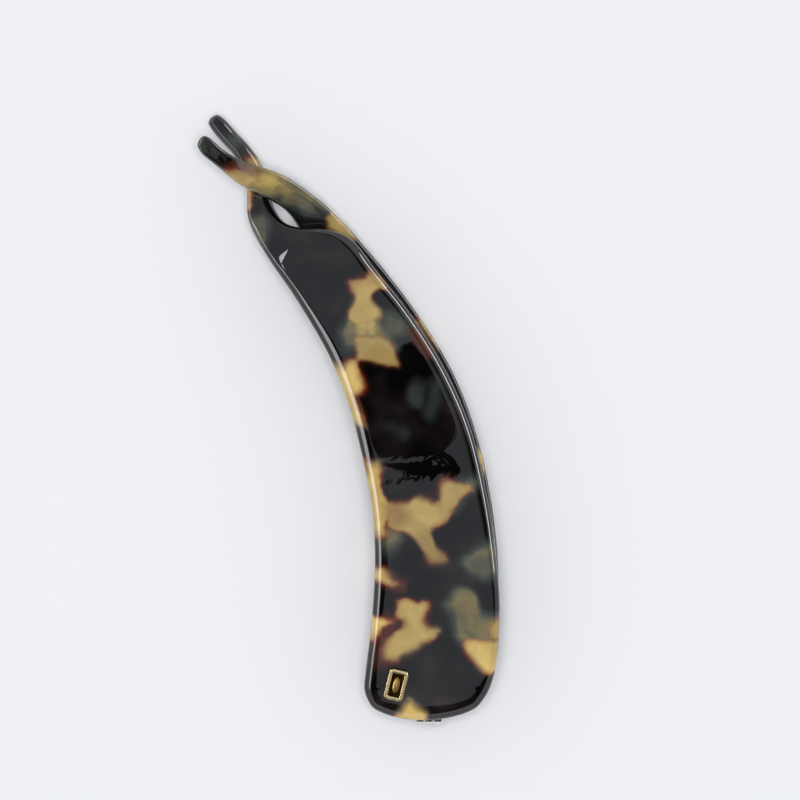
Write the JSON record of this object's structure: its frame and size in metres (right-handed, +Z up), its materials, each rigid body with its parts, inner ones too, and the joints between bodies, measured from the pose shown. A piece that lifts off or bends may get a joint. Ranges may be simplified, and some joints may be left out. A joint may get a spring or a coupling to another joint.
{
  "type": "banana hair clip",
  "caption": "Banana hair clip lying on its side: two bowed tortoiseshell acetate arms on a small metal hinge, with crossed fingers that lock it shut.",
  "frame": {"origin": "middle of the clip's footprint, on the surface that it lies on", "axes": "+Y from the hinge towards the fingers, +X towards the clip's outward-curved side, +Z up, through the front arm's bowed face; the hinge axis runs along X"},
  "size_m": [0.0656, 0.133, 0.0266],
  "materials": {
    "tortoiseshell_acetate": "polished cellulose acetate, near black with honey and olive patches",
    "hinge_steel": "nickel-plated steel",
    "gold_plate": "polished gold-coloured plating"
  },
  "bodies": {
    "back": {"back_arm": "tortoiseshell_acetate", "hinge_leaf_back": "hinge_steel", "hinge_pin": "hinge_steel"},
    "front": {"front_arm": "tortoiseshell_acetate", "hinge_leaf_front": "hinge_steel", "emblem": "gold_plate"}
  },
  "joints": [
    {"name": "hinge_open", "type": "hinge", "parent": "back", "child": "front", "pos_m": [0.01737, -0.06492, 0.0133], "axis": [1, 0, 0], "range_deg": [0, 80]}
  ]
}
